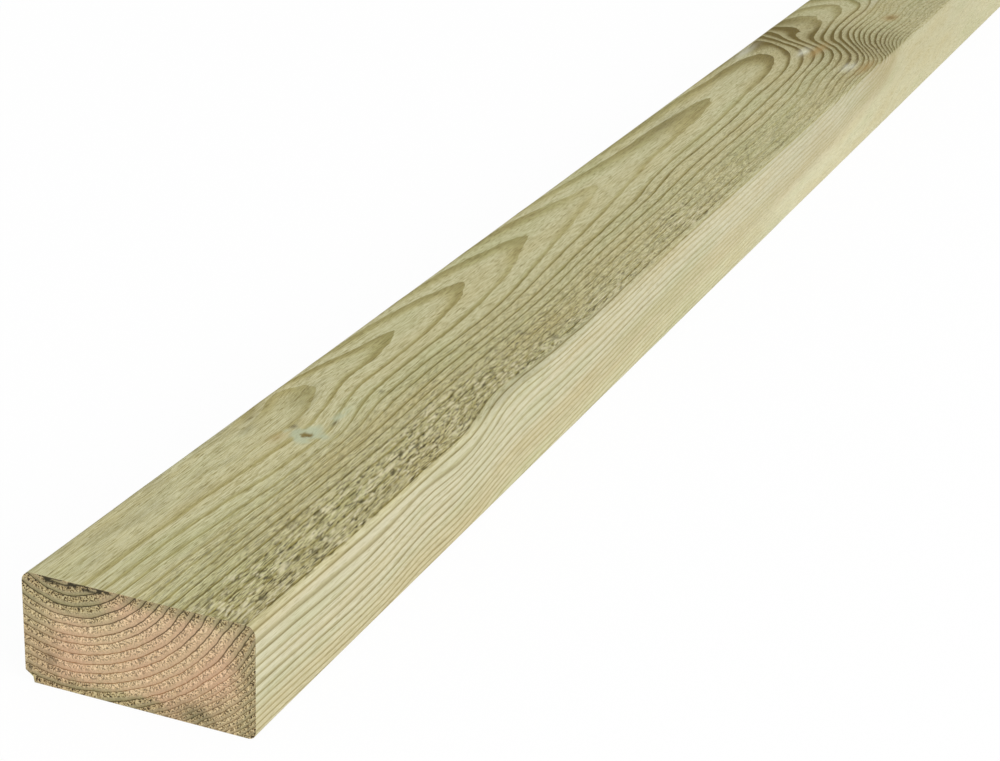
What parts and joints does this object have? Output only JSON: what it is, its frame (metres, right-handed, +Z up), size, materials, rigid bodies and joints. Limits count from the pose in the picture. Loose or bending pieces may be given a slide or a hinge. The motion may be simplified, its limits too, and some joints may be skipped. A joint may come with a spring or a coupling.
{
  "type": "wooden batten",
  "caption": "Straight length of planed, green pressure-treated softwood with eased long edges, square sawn ends and one splintered corner, for framing and battening.",
  "frame": {"origin": "middle of the underside, at half the length and half the width", "axes": "+X along the grain from the first (splintered) end to the second, +Y across the wide face towards the back edge, +Z up through the thickness"},
  "size_m": [2.4, 0.095, 0.045],
  "materials": {
    "treated_softwood": "matte"
  },
  "bodies": {
    "root": {"batten": "treated_softwood"}
  },
  "joints": []
}
